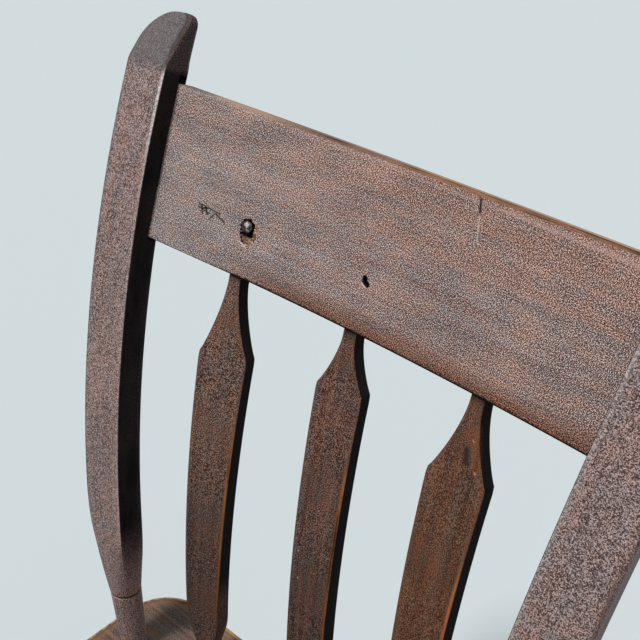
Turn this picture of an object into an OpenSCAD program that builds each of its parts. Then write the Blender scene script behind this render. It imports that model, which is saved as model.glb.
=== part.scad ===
// Arrow back windsor side chair: a plank seat on four turned legs, with a bent back of
// three arrow spindles between two posts, under one deep crest rail.
// The chair faces -Y, up is +Z, and left is -X, as seen by someone who stands before it.

/* [Seat] */
// Height of the seat's top above the floor
seat_h = 430; // [400:5:460]
// Thickness of the seat plank
seat_t = 38; // [34:1:44]
// Width of the seat at its front
seat_front_w = 412; // [396:2:440]
// Width of the seat at its back
seat_rear_w = 388; // [384:2:404]
// Depth of the seat from front to back
seat_d = 392; // [372:2:430]
// Radius of the seat's front corners
seat_front_r = 58; // [40:2:70]
// Radius of the seat's back corners
seat_rear_r = 46; // [30:2:50]
// How far the middle of the front edge and of the back edge stands out
seat_bow = 8; // [0:1:14]
// Wood behind the middle spindle, on top of the seat
seat_margin = 34; // [30:1:44]
// Depth of the hollow in the seat
saddle_dip = 9; // [4:1:12]
// Radius of the hollow where it meets the flat of the seat
saddle_r = 160; // [130:2:168]
// Chamfer under the seat's edge
seat_chamfer = 10; // [4:1:12]
// Rounding over the seat's edge
seat_round = 5; // [2:1:6]

/* [Legs] */
// Thickness of a leg at its rings
leg_d = 33; // [30:1:37]
// Thickness of a leg between its rings
leg_waist_d = 28; // [26:1:30]
// Thickness of a leg at the floor
leg_foot_d = 24; // [20:1:26]
// Thickness of a leg's top end, which goes through the seat
leg_tenon_d = 22; // [19:1:24]
// Heights of the three turned rings along a leg
leg_rings = [96, 212, 318];
// Half the distance between the front legs, under the seat
front_leg_x = 142; // [130:2:150]
// Distance of the front legs from the seat's front edge
front_leg_inset = 60; // [50:2:70]
// Angle of the front legs outwards
front_splay_out = 6; // [3:0.5:8]
// Angle of the front legs forwards
front_splay_fore = 6; // [3:0.5:8]
// Half the distance between the rear legs, under the seat
rear_leg_x = 118; // [108:2:122]
// Distance of the rear legs from the seat's back edge
rear_leg_inset = 76; // [72:2:84]
// Angle of the rear legs outwards
rear_splay_out = 8; // [5:0.5:10]
// Angle of the rear legs backwards
rear_splay_back = 13; // [8:0.5:15]

/* [Stretchers] */
// Height of the front stretcher
front_stretcher_h = 206; // [190:2:230]
// Height of the two side stretchers
side_stretcher_h = 146; // [120:2:160]
// Height of the rear stretcher
rear_stretcher_h = 178; // [172:2:188]
// Thickness of a stretcher at its middle
stretcher_d = 22; // [18:1:25]
// Thickness of a stretcher's ends
stretcher_end_d = 14; // [11:1:16]
// How far a stretcher's end goes past the middle of the leg
stretcher_bite = 4; // [0:1:6]
// Distance of a stretcher's two rings from its middle
stretcher_ring = 58; // [40:2:80]

/* [Back] */
// Length of a spindle between the seat and the crest rail
spindle_len = 352; // [330:2:370]
// Angle of the spindles backwards where they leave the seat
spindle_rake = 0.8; // [0:0.1:3]
// Radius of the bend in the spindles
spindle_bend_r = 1100; // [1000:10:1400]
// Distance between two spindles at the crest rail
spindle_pitch = 95; // [88:1:98]
// Lean of each spindle in the front view, with its foot to the left
spindle_leans = [0.3, -1.2, 0.1];

/* [Arrow spindles] */
// Width of each arrow at its shoulders
arrow_w = [41, 36, 41];
// Width of an arrow at its lower end
arrow_low_w = 32.5; // [28:0.5:35]
// Distance of each arrow's left shoulder from the crest rail
arrow_top = [66, 46, 60];
// How much nearer to the rail its right shoulder was cut
arrow_slip = [7, 3.5, 6];
// Distance of the arrow's lower end from the seat
arrow_low = 74; // [60:1:90]
// Width of a spindle's neck under the crest rail
neck_w = 9.8; // [9:0.2:13]
// Thickness of an arrow's blade, if it went on up to the crest rail
spindle_top_t = 9; // [7:0.2:9.6]
// Wood that the neck keeps over that thickness
neck_extra_t = 1.6; // [1.4:0.2:3]
// Thickness of a spindle near the seat
spindle_low_t = 13.8; // [11:0.2:14]
// Thickness of a spindle's round foot
spindle_foot_d = 13; // [11:0.5:14]
// Length of a spindle's foot inside the seat
spindle_foot_len = 25; // [18:1:28]
// Thickness of the round pin at a spindle's top
spindle_pin_d = 7; // [6:0.5:7.5]
// Length of the pin inside the crest rail
spindle_pin_len = 42; // [38:1:60]

/* [Crest rail] */
// Height of the crest rail's face
crest_h = 104; // [92:1:116]
// Length of the crest rail between the posts, at its lower edge
crest_w = 336; // [328:1:344]
// Thickness of the crest rail
crest_t = 16.5; // [15:0.5:20]
// Angle of the crest rail backwards
crest_rake = 27; // [24:0.5:30]
// Radius of the crest rail's face, hollow to the front
crest_bend_r = 1190; // [1000:10:1600]
// Length of each end inside its post
crest_tenon_len = 24; // [18:1:30]
// Thickness of each end inside its post
crest_tenon_t = 7; // [6:0.5:9]
// Empty length of the slot in the post above the crest rail
mortise_gap = 5; // [0:0.5:8]

/* [Posts] */
// Width of a post
post_w = 40; // [36:0.5:44]
// Thickness of a post from its flat front to its back
post_t = 26; // [24:0.5:29]
// Rounding of a post's back corners
post_back_r = 11; // [8:0.5:12]
// Angle of the posts outwards
post_lean = 4.5; // [3.5:0.1:5.5]
// Angle of a post backwards, beside the middle of the crest rail
post_rake = 25.5; // [23:0.1:28]
// Radius of the bend in the posts
post_bend_r = 950; // [900:10:980]
// Angle of a post backwards, where it leaves the seat
post_foot_rake = 4; // [3.5:0.1:6]
// How far a post's middle lies behind the crest rail's face
post_set = 1.7; // [0:0.1:3]
// Thickness of a post's round end in the seat
post_tenon_d = 21; // [18:0.5:22]
// Length of the ear above the crest rail's top
ear_len = 44; // [38:1:55]
// Length of the bevel on the front of the ear
ear_bevel = 36; // [24:1:40]
// Thickness left at the ear's top
ear_tip_t = 7; // [6:0.5:12]
// How far the ear's back comes forward at its top
ear_back_drop = 6; // [1:0.5:7]
// Rounding of the ear's outer corner
ear_r = 24; // [16:1:30]
// Rounding of the ear's inner corner
ear_inner_r = 8; // [1:0.5:12]

/* [Fasteners] */
// Height of the spindle nails above the crest rail's lower edge
nail_v = 33; // [26:1:36]
// How far the side nails sit nearer the middle than their spindles
nail_inset = 1.3; // [0:0.1:2]
// Thickness of a nail
nail_d = 2.6; // [2:0.2:3]
// Length of a nail under its head
nail_len = 14; // [10:1:14]
// Width of a nail's head
nail_head_d = 7.6; // [5:0.2:8]
// Width of the broken-out hole round the left nail
hole_w = 13; // [11:0.5:14]
// Height of the broken-out hole round the left nail
hole_h = 17.5; // [15:0.5:20]
// Depth of the broken-out hole
hole_depth = 3.5; // [2:0.5:5]
// Width of the empty nail hole over the middle spindle
empty_hole_d = 5.5; // [3:0.5:6]
// Thickness of the wooden pins that hold the crest rail in the posts
crest_pin_d = 6; // [4:0.5:8]
// Length of those wooden pins
crest_pin_len = 20; // [16:1:22]
// Thickness of a wedge at its wide end
wedge_t = 3; // [2:0.5:4]
// Length of a wedge
wedge_len = 20; // [12:1:26]

/* [Fits] */
// Room between a round end and its hole, on the radius
fit_gap = 0.1; // [0.05:0.05:0.3]
// Room past the end of each blind hole
end_gap = 1; // [0.5:0.5:2]

/* [Hidden] */

$fn = 48;
BIG = 2000;
LEFT = -1;
RIGHT = 1;
FRONT = 0;
REAR = 1;

// Places on the seat, measured from the foot of the middle spindle
seat_y1 = seat_margin;
seat_y0 = seat_margin - seat_d;
front_leg_y = seat_y0 + front_leg_inset;
rear_leg_y = seat_y1 - rear_leg_inset;

// The bend of the spindles in the side view, from the seat up
function spindle_angle(l) = spindle_rake + l / spindle_bend_r * 180 / PI;
function spindle_y(l) = spindle_bend_r * (cos(spindle_rake) - cos(spindle_angle(l)));
function spindle_z(l) = spindle_bend_r * (sin(spindle_angle(l)) - sin(spindle_rake));

// Lower edge of the crest rail's face, at its middle
crest_y = spindle_y(spindle_len) - crest_t / 2 * cos(crest_rake);
crest_z = seat_h + spindle_z(spindle_len) + crest_t / 2 * sin(crest_rake);
function crest_bend(x) = sqrt(crest_bend_r * crest_bend_r - x * x) - crest_bend_r;

// Middle line of a post, in the plane in which it is bent
post_mid_x = (crest_w + post_w) / 2;
post_mid_n = crest_bend(post_mid_x) + post_set;
post_mid_y = crest_y + crest_h / 2 * sin(crest_rake) + post_mid_n * cos(crest_rake);
post_mid_z = crest_z + crest_h / 2 * cos(crest_rake) - post_mid_n * sin(crest_rake);
post_x = post_mid_x + post_w / 2 * (1 / cos(post_lean) - 1) - (crest_z - seat_h) * tan(post_lean);
post_centre_y = post_mid_y + post_bend_r * cos(post_rake);
post_centre_z = (post_mid_z - seat_h) / cos(post_lean) - post_bend_r * sin(post_rake);
function post_y(a) = post_centre_y - post_bend_r * cos(a);
function post_z(a) = post_centre_z + post_bend_r * sin(a);
// The round foot runs straight from the seat to where its line touches the bend
post_foot_run = post_z(post_foot_rake) / cos(post_foot_rake);
post_foot_y = post_y(post_foot_rake) - post_foot_run * sin(post_foot_rake);
post_tip_angle = post_rake + (crest_h / 2 + ear_len) / post_bend_r * 180 / PI;

// Legs: where the middle line meets the floor and the top of the seat
function leg_slope(side, row) = row == FRONT
    ? [side * tan(front_splay_out), -tan(front_splay_fore)]
    : [side * tan(rear_splay_out), tan(rear_splay_back)];
function leg_seat(side, row) = row == FRONT
    ? [side * front_leg_x, front_leg_y]
    : [side * rear_leg_x, rear_leg_y];
function leg_at(side, row, z) =
    let(s = leg_slope(side, row), p = leg_seat(side, row), down = seat_h - seat_t - z)
    [p.x + s.x * down, p.y + s.y * down, z];

// The chair stands with the middle of its box over the origin
rear_reach = post_y(post_tip_angle) + (post_t / 2 - ear_back_drop) * cos(post_tip_angle);
foot_reach = leg_at(RIGHT, FRONT, 0).y - leg_foot_d / 2;
front_reach = min(seat_y0 - seat_bow, foot_reach);
middle_y = (rear_reach + front_reach) / 2;
module place() { translate([0, -middle_y, 0]) children(); }

// Smooth step from 0 to 1
function ease(u) = let(v = max(0, min(1, u))) v * v * (3 - 2 * v);

// Turns the Z axis of its children along the line from p to q, without spin about that line
module along(p, q) {
    v = q - p;
    heading = atan2(v.y, v.x);
    translate(p)
        rotate([0, acos(v.z / norm(v)), heading])
            rotate([0, 0, -heading])
                children();
}

// Colours of the old finish
finish = [0.33, 0.25, 0.22];
finish_worn = [0.40, 0.27, 0.20];
bare_wood = [0.62, 0.44, 0.28];
old_iron = [0.22, 0.21, 0.21];

// Seat
module seat_slab(z, t, inset) {
    hull() {
        for (i = [-2:2]) {
            x = i / 2;
            bow = seat_bow * (1 - x * x);
            translate([x * (seat_front_w / 2 - seat_front_r), seat_y0 + seat_front_r - bow, z])
                cylinder(r = seat_front_r - inset, h = t);
            translate([x * (seat_rear_w / 2 - seat_rear_r), seat_y1 - seat_rear_r, z])
                cylinder(r = seat_rear_r - inset, h = t);
        }
    }
}
module seat_block() {
    slice = 0.2;
    hull() {
        seat_slab(seat_h - slice, slice, seat_round);
        seat_slab(seat_h - seat_round, slice, 0);
        seat_slab(seat_h - seat_t / 2, slice, 0);
        seat_slab(seat_h - seat_t, slice, seat_chamfer);
    }
}
// All that lies above the seat's surface
module above_seat() {
    ball_r = (saddle_r * saddle_r + saddle_dip * saddle_dip) / (2 * saddle_dip);
    translate([-BIG / 2, -BIG / 2, seat_h]) cube([BIG, BIG, BIG / 10]);
    translate([0, seat_y0 + saddle_r + seat_round * 3, seat_h - saddle_dip + ball_r])
        sphere(r = ball_r, $fn = 200);
}
module seat() {
    color(finish_worn) place() difference() {
        seat_block();
        above_seat();
        for (side = [LEFT, RIGHT], row = [FRONT, REAR])
            along(leg_at(side, row, 0), leg_at(side, row, seat_h))
                translate([0, 0, (seat_h - seat_t) / 2])
                    cylinder(d = leg_tenon_d + 2 * fit_gap, h = seat_h);
        for (side = [LEFT, RIGHT])
            post_foot_frame(side)
                translate([0, 0, -seat_t * 2])
                    cylinder(d = post_tenon_d + 2 * fit_gap, h = seat_t * 4);
        for (i = [0:2])
            spindle_frame(i)
                rotate([-spindle_rake, 0, 0])
                    translate([0, 0, -spindle_foot_len - end_gap])
                        cylinder(d = spindle_foot_d + 2 * fit_gap, h = seat_t * 2);
    }
}

// Legs
leg_overrun = 12;
groove = 1.3;
// Radius of a turned piece between two stations: full at both, or thinner between them
function swell(r0, r1, waist, u) = r0 + (r1 - r0) * u - 4 * u * (1 - u) * ((r0 + r1) / 2 - waist);
// Points of a turned length from z0 to z1, with its cut ring at z1
function turned(z0, z1, r0, r1, waist, steps = 8) = [
    for (i = [0:steps - 1])
        let(u = i / steps)
        [swell(r0, r1, waist, u), z0 + (z1 - z0) * u]
];
function ring(z, r) = [[r, z - groove], [r - groove, z], [r, z + groove]];
function leg_profile(under) =
    let(r = leg_d / 2, waist = leg_waist_d / 2, foot = leg_foot_d / 2, top = leg_tenon_d / 2)
    let(a = leg_rings[0], b = leg_rings[1], c = leg_rings[2])
    concat(
        [[0, -leg_overrun], [foot, -leg_overrun]],
        turned(0, a - groove, foot, r * 0.92, (foot + r) / 2 - 0.6),
        ring(a, r * 0.92),
        turned(a + 2 * groove, b - groove, r * 0.92, r, waist),
        ring(b, r),
        turned(b + 2 * groove, c - groove, r, r, waist),
        ring(c, r),
        turned(c + 2 * groove, under, r, top, (r + top) / 2 - 0.8),
        [[top, under], [top, under + seat_t * 2], [0, under + seat_t * 2]]
    );
module leg_body(side, row) {
    p = leg_at(side, row, 0);
    q = leg_at(side, row, seat_h);
    under = norm(leg_at(side, row, seat_h - seat_t) - p);
    difference() {
        along(p, q) rotate_extrude() polygon(leg_profile(under));
        translate([-BIG / 2, -BIG / 2, -BIG / 10]) cube([BIG, BIG, BIG / 10]);
        above_seat();
    }
}
// A wedge at the top of a leg, across the grain of the seat
module leg_wedge(side, row, gap) {
    p = leg_at(side, row, 0);
    q = leg_at(side, row, seat_h);
    difference() {
        along(p, q)
            translate([0, 0, norm(q - p)])
                wedge(leg_tenon_d, gap);
        above_seat();
    }
}
// The wedge's wide end stands up past the tenon's end, and is cut off flush
module wedge(tenon_d, gap) {
    over = 8;
    rise = wedge_t / wedge_len / 2 * over;
    width = sqrt(tenon_d * tenon_d - wedge_t * wedge_t) - 1 + 2 * gap;
    rotate([90, 0, 0])
        linear_extrude(width, center = true)
            polygon([[-gap, -wedge_len - gap], [gap, -wedge_len - gap],
                [wedge_t / 2 + rise + gap, over], [-wedge_t / 2 - rise - gap, over]]);
}
module leg(side, row) {
    color(finish) place() difference() {
        leg_body(side, row);
        leg_wedge(side, row, fit_gap);
        for (s = [0:3])
            if (stretcher_side(s, side, row))
                stretcher_line(s)
                    cylinder(d = stretcher_end_d + 2 * fit_gap, h = stretcher_length(s) + 2 * stretcher_bite
                        + 2 * end_gap, center = true);
    }
}
module leg_wedges() {
    color(bare_wood) place()
        for (side = [LEFT, RIGHT], row = [FRONT, REAR])
            leg_wedge(side, row, 0);
}

// Stretchers: front, left, right and rear
function stretcher_ends(s) = [
    [leg_at(LEFT, FRONT, front_stretcher_h), leg_at(RIGHT, FRONT, front_stretcher_h)],
    [leg_at(LEFT, FRONT, side_stretcher_h), leg_at(LEFT, REAR, side_stretcher_h)],
    [leg_at(RIGHT, FRONT, side_stretcher_h), leg_at(RIGHT, REAR, side_stretcher_h)],
    [leg_at(LEFT, REAR, rear_stretcher_h), leg_at(RIGHT, REAR, rear_stretcher_h)]
][s];
function stretcher_length(s) = let(e = stretcher_ends(s)) norm(e[1] - e[0]);
function stretcher_side(s, side, row) =
    s == 0 ? row == FRONT : s == 1 ? side == LEFT : s == 2 ? side == RIGHT : row == REAR;
module stretcher_line(s) {
    e = stretcher_ends(s);
    along(e[0], e[1])
        translate([0, 0, stretcher_length(s) / 2])
            children();
}
// Half of a stretcher's profile, from its middle to its end
function stretcher_half(len) =
    let(r = stretcher_d / 2, end = stretcher_end_d / 2, plain = leg_d / 2 + 8, steps = 10)
    let(reach = len / 2 + stretcher_bite, z1 = len / 2 - plain)
    concat(
        [[r - 0.6, 0], [r - 0.1, stretcher_ring / 2]],
        ring(stretcher_ring, r),
        [for (i = [1:steps])
            let(u = i / steps)
            [r - (r - end) * ease(u), stretcher_ring + groove + (z1 - stretcher_ring - groove) * u]],
        [[end, reach - 1], [end - 1, reach], [0, reach]]
    );
module stretcher(s) {
    half = stretcher_half(stretcher_length(s));
    color(finish) place() stretcher_line(s)
        rotate_extrude()
            polygon(concat(half, [for (i = [len(half) - 1:-1:1]) [half[i].x, -half[i].y]]));
}

// Posts
// The plane in which a post is bent: it leans outwards, with X to the outside
module post_plane(side) {
    translate([side * post_x, 0, seat_h])
        rotate([0, side * post_lean, 0])
            mirror([side == LEFT ? 1 : 0, 0, 0])
                children();
}
// Frame at the foot of a post, with Z along its round end
module post_foot_frame(side) {
    post_plane(side)
        translate([0, post_foot_y, 0])
            rotate([-post_foot_rake, 0, 0])
                children();
}
// Section of a post: x runs out from the centre of the bend, y across the post
module post_section() {
    r = post_back_r;
    translate([post_bend_r - post_t / 2 + r, -post_w / 2]) square([post_t - r, post_w]);
    translate([post_bend_r - post_t / 2, -post_w / 2 + r]) square([r + 1, post_w - 2 * r]);
    for (s = [-1, 1])
        translate([post_bend_r - post_t / 2 + r, s * (post_w / 2 - r)]) circle(r = r);
}
// The bent bar, from the seat to past the top of the ear
module post_bar() {
    past = 0.2;
    past_tip = 2;
    start = post_foot_rake - post_foot_run / post_bend_r * 180 / PI - past;
    translate([0, post_centre_y, post_centre_z])
        rotate([90, 0, -90])
            rotate([0, 0, start])
                rotate_extrude(angle = post_tip_angle + past_tip - start, $fn = 360)
                    post_section();
}
// The turned foot widens until the flats of the bar take over
module post_turned() {
    foot_r = post_tenon_d / 2;
    ring_r = foot_r + 1.8;
    wide = norm([post_w, post_t]) / 2 + 3;
    ring_z = 62;
    flat_z = post_foot_run + 90;
    translate([0, post_foot_y, 0])
        rotate([-post_foot_rake, 0, 0]) {
            rotate_extrude()
                polygon(concat(
                    [[0, 0]],
                    turned(0, ring_z - groove, foot_r, ring_r, foot_r + 0.8),
                    ring(ring_z, ring_r),
                    turned(ring_z + 2 * groove, flat_z, ring_r, wide, (foot_r + wide) / 2),
                    [[wide, flat_z], [BIG / 8, flat_z + 2], [BIG / 8, BIG / 2], [0, BIG / 2]]
                ));
        }
}
// Frame at the top of the ear, with Z along the bend there
module ear_frame() {
    translate([0, post_centre_y, post_centre_z])
        rotate([-post_tip_angle, 0, 0])
            translate([0, -post_bend_r, 0])
                children();
}
// Outline of the ear from the front: a large round outside, a small one inside
module post_ear() {
    flat = post_w - ear_r - ear_inner_r;
    ear_frame() {
        translate([-BIG / 8, -BIG / 8, -BIG]) cube([BIG / 4, BIG / 4, BIG - ear_r]);
        rotate([90, 0, 0])
            linear_extrude(BIG / 10, center = true) {
                translate([-BIG / 20, -ear_r - 1]) square([BIG / 20 + post_w / 2 - ear_r, ear_r + 1 - ear_inner_r]);
                translate([ear_inner_r - post_w / 2, -ear_r]) square([flat, ear_r]);
                translate([ear_inner_r - post_w / 2, -ear_inner_r]) circle(r = ear_inner_r);
                translate([post_w / 2 - ear_r, -ear_r]) circle(r = ear_r, $fn = 96);
            }
    }
}
// What is cut off the ear's front, and less off its back
module ear_bevels() {
    front = atan((post_t - ear_tip_t - ear_back_drop) / ear_bevel);
    back = atan(ear_back_drop / ear_bevel);
    ear_frame() {
        translate([-post_w, -post_t / 2, -ear_bevel])
            rotate([-front, 0, 0])
                translate([0, -BIG / 10, -BIG / 40])
                    cube([post_w * 2, BIG / 10, BIG / 10]);
        translate([-post_w, post_t / 2, -ear_bevel])
            rotate([back, 0, 0])
                translate([0, 0, -BIG / 40])
                    cube([post_w * 2, BIG / 10, BIG / 10]);
    }
}
module post(side) {
    color(finish) place() difference() {
        union() {
            post_plane(side) difference() {
                intersection() {
                    post_bar();
                    post_turned();
                    post_ear();
                }
                ear_bevels();
            }
            difference() {
                post_foot_frame(side)
                    translate([0, 0, -seat_t * 1.5])
                        cylinder(d = post_tenon_d, h = seat_t * 1.5 + 0.5);
                below_seat();
            }
        }
        crest_slot();
        crest_pin(side, fit_gap);
        post_wedge(side, fit_gap);
    }
}
module below_seat() {
    translate([-BIG / 2, -BIG / 2, seat_h - seat_t - BIG / 10]) cube([BIG, BIG, BIG / 10]);
}
// A wedge at the lower end of a post
module post_wedge(side, gap) {
    difference() {
        post_foot_frame(side)
            translate([0, 0, -seat_t / cos(post_foot_rake)])
                rotate([180, 0, 0])
                    wedge(post_tenon_d, gap);
        below_seat();
    }
}
module post_wedges() {
    color(bare_wood) place()
        for (side = [LEFT, RIGHT])
            post_wedge(side, 0);
}

// Crest rail
// Frame on the lower edge of its face: y runs back through the rail, z up along its face
module crest_frame() {
    translate([0, crest_y, crest_z])
        rotate([-crest_rake, 0, 0])
            children();
}
// A bent board from z0 to z1 up the face, and from n0 to n1 behind it
module bent_board(z0, z1, n0, n1) {
    translate([0, -crest_bend_r, z0])
        linear_extrude(z1 - z0)
            difference() {
                circle(r = crest_bend_r + n1, $fn = 720);
                circle(r = crest_bend_r + n0, $fn = 720);
                translate([-BIG, -BIG * 2]) square([BIG * 2, BIG * 2]);
            }
}
// The space between the posts' inner faces, wider by grow at each end
module between_posts(grow) {
    low = crest_z - 150;
    high = crest_z + 250;
    w_low = crest_w / 2 - 150 * tan(post_lean) + grow;
    w_high = crest_w / 2 + 250 * tan(post_lean) + grow;
    rotate([90, 0, 0])
        linear_extrude(BIG, center = true)
            polygon([[-w_low, low], [w_low, low], [w_high, high], [-w_high, high]]);
}
// The slots in the posts, open above the rail
module crest_slot() {
    intersection() {
        crest_frame()
            bent_board(-fit_gap, crest_h + mortise_gap, -fit_gap, crest_tenon_t + fit_gap);
        between_posts(crest_tenon_len + end_gap);
    }
}
// A place on the face, x across and v up from the lower edge, with y square to the face
module on_crest(x, v) {
    angle = asin(x / crest_bend_r);
    crest_frame()
        translate([x, crest_bend(x), v])
            rotate([0, 0, -angle])
                children();
}
module crest_rail() {
    color(finish_worn) place() difference() {
        union() {
            intersection() {
                crest_frame() bent_board(0, crest_h, 0, crest_t);
                between_posts(0);
            }
            intersection() {
                crest_frame() bent_board(0, crest_h, 0, crest_tenon_t);
                between_posts(crest_tenon_len);
            }
        }
        for (i = [0:2])
            spindle_top_frame(i)
                translate([0, 0, -5])
                    cylinder(d = spindle_pin_d + 2 * fit_gap, h = spindle_pin_len + end_gap + 5);
        for (side = [LEFT, RIGHT])
            crest_pin(side, fit_gap);
        broken_hole();
        on_crest(0, nail_v)
            rotate([-90, 0, 0])
                translate([0, 0, -1]) cylinder(d = empty_hole_d, h = 1 + crest_t * 0.75);
        crest_nail(LEFT, fit_gap);
        crest_nail(RIGHT, fit_gap);
    }
}
// Wood broken out round the left nail: a slot with round ends, leaning to the left
module broken_hole() {
    tilt = 12;
    drop = 3;
    on_crest(-nail_x + 1, nail_v - drop)
        rotate([-90, 0, 0])
            rotate([0, 0, -tilt])
                translate([0, 0, -1])
                    linear_extrude(hole_depth + 1) {
                        square([hole_w, hole_h - hole_w], center = true);
                        for (s = [-1, 1])
                            translate([0, s * (hole_h - hole_w) / 2]) circle(d = hole_w);
                    }
}

// Wooden pins through the back of each post into the rail's ends
module crest_pin(side, gap) {
    x = side * (crest_w / 2 + crest_h / 2 * tan(post_lean) + crest_tenon_len * 0.55);
    rear = crest_bend(x) + post_set + post_t / 2;
    past = gap > 0 ? end_gap : 0;
    crest_frame()
        translate([x, rear - crest_pin_len + 0.5, crest_h / 2])
            rotate([-90, 0, 0])
                translate([0, 0, -past]) cylinder(d = crest_pin_d + 2 * gap, h = crest_pin_len + 6 * past);
}
module crest_pins() {
    color(bare_wood) place()
        for (side = [LEFT, RIGHT])
            crest_pin(side, 0);
}

// Nails through the rail into the spindles: the left one stands proud, the right one is flush
nail_x = spindle_pitch - nail_inset;
module crest_nail(side, gap) {
    proud = side == LEFT ? 2 : 0;
    head_t = 1.6;
    on_crest(side * nail_x, nail_v)
        rotate([-90, 0, 0]) {
            translate([0, 0, -proud - gap]) cylinder(d = nail_head_d + 2 * gap, h = head_t + 2 * gap);
            translate([0, 0, -proud]) cylinder(d = nail_d + 2 * gap, h = nail_len + proud + gap);
        }
}
module crest_nails() {
    color(old_iron) place() {
        crest_nail(LEFT, 0);
        crest_nail(RIGHT, 0);
    }
}

// Arrow spindles
function spindle_x(i) = (i - 1) * spindle_pitch;
// The rail leans back, so its lower edge is a little higher where it comes forward
function spindle_settle(x) = -crest_bend(x) * sin(crest_rake);
// Frame at a spindle's foot. It turns about the line from the foot to the top, to face as
// the crest rail does there, and leans about the top
module spindle_frame(i) {
    x = spindle_x(i);
    tilt = atan2(spindle_y(spindle_len), spindle_z(spindle_len));
    chord = norm([spindle_y(spindle_len), spindle_z(spindle_len)]);
    translate([x, crest_bend(x) * cos(crest_rake), seat_h + spindle_settle(x)])
        rotate([-tilt, 0, 0])
            rotate([0, 0, -asin(x / crest_bend_r)])
                translate([0, 0, chord])
                    rotate([0, spindle_leans[i], 0])
                        translate([0, 0, -chord])
                            rotate([tilt, 0, 0])
                                children();
}
module spindle_top_frame(i) {
    spindle_frame(i)
        translate([0, spindle_y(spindle_len), spindle_z(spindle_len)])
            rotate([-crest_rake, 0, 0])
                children();
}
// Half the width of spindle i on one side, at a distance l above the seat
function arrow_half(i, l, side) =
    let(wide = arrow_w[i], down = spindle_len - l)
    let(top = arrow_top[i] - (side == RIGHT ? arrow_slip[i] : 0))
    let(flare = min(1, max(0, (down - 4) / (top - 10))))
    let(shoulder = neck_w / 2 + (wide * 0.96 - neck_w) / 2 * pow(flare, 1.6))
    let(crown = wide * 0.04 / 2 * ease((down - top + 12) / 12))
    let(u = (down - top) / (spindle_len - top - arrow_low))
    shoulder + crown - (wide - arrow_low_w) / 2 * max(0, min(1, u));
function arrow_t(i, l) =
    let(top = arrow_top[i], down = spindle_len - l)
    spindle_low_t + (spindle_top_t - spindle_low_t) * l / spindle_len
        + neck_extra_t * ease((top + 6 - down) / top);
// The drawn blade runs a little into the rail, and is cut off at the rail's lower edge
spindle_over = 3;
spindle_steps = 44;
spindle_stops = [for (i = [0:spindle_steps]) (spindle_len + spindle_over) * i / spindle_steps];
function off_line(l, d) = [spindle_y(l) + d * cos(spindle_angle(l)), spindle_z(l) - d * sin(spindle_angle(l))];
module spindle_body(i) {
    back = [for (l = spindle_stops) off_line(l, arrow_t(i, l) / 2)];
    right = [for (l = spindle_stops) [arrow_half(i, l, RIGHT), spindle_z(l)]];
    intersection() {
        // Side view: the bend and the thickness
        rotate([90, 0, 90])
            linear_extrude(max(arrow_w) * 2, center = true)
                polygon(concat(
                    [for (l = spindle_stops) off_line(l, -arrow_t(i, l) / 2)],
                    [for (k = [spindle_steps:-1:0]) back[k]]
                ));
        // Front view: the arrow
        rotate([90, 0, 0])
            linear_extrude(BIG / 2, center = true)
                polygon(concat(
                    [for (l = spindle_stops) [-arrow_half(i, l, LEFT), spindle_z(l)]],
                    [for (k = [spindle_steps:-1:0]) right[k]]
                ));
        spindle_turned();
    }
}
// The turned foot widens until the flats of the arrow take over
module spindle_turned() {
    foot_r = spindle_foot_d / 2;
    plain = 14;
    steps = 10;
    rotate([-spindle_rake, 0, 0])
        translate([0, 0, -seat_t / 2])
            rotate_extrude()
                polygon(concat(
                    [[0, 0], [foot_r, 0], [foot_r, seat_t / 2 + plain]],
                    [for (i = [1:steps])
                        let(u = i / steps)
                        [foot_r + (arrow_low_w / 2 + 6 - foot_r) * pow(u, 1.25), seat_t / 2 + plain
                            + (arrow_low - plain) * u]],
                    [[BIG / 8, seat_t / 2 + arrow_low + 2], [BIG / 8, BIG / 2], [0, BIG / 2]]
                ));
}
module spindle(i) {
    color(finish_worn) place() difference() {
        union() {
            difference() {
                spindle_frame(i) spindle_body(i);
                spindle_frame(i) translate([-BIG / 2, -BIG / 2, -BIG]) cube([BIG, BIG, BIG]);
                crest_frame() translate([-BIG / 2, -BIG / 4, 0]) cube([BIG, BIG / 2, BIG / 4]);
            }
            spindle_frame(i)
                rotate([-spindle_rake, 0, 0])
                    translate([0, 0, -spindle_foot_len])
                        cylinder(d = spindle_foot_d, h = spindle_foot_len + 6);
            spindle_top_frame(i)
                translate([0, 0, -8]) cylinder(d = spindle_pin_d, h = spindle_pin_len + 8);
        }
        if (i == 1)
            on_crest(0, nail_v)
                rotate([-90, 0, 0])
                    translate([0, 0, -1]) cylinder(d = empty_hole_d * 0.6, h = 1 + crest_t * 0.75);
        else
            crest_nail(i - 1, fit_gap);
    }
}

seat();
leg(LEFT, FRONT);  // leg_front_left
leg(RIGHT, FRONT);  // leg_front_right
leg(LEFT, REAR);  // leg_rear_left
leg(RIGHT, REAR);  // leg_rear_right
stretcher(0);  // stretcher_front
stretcher(1);  // stretcher_left
stretcher(2);  // stretcher_right
stretcher(3);  // stretcher_rear
post(LEFT);  // post_left
post(RIGHT);  // post_right
crest_rail();
spindle(0);  // spindle_left
spindle(1);  // spindle_centre
spindle(2);  // spindle_right
leg_wedges();
post_wedges();
crest_pins();
crest_nails();
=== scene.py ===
import bpy
import numpy as np
from mathutils import Matrix, Vector


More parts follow.
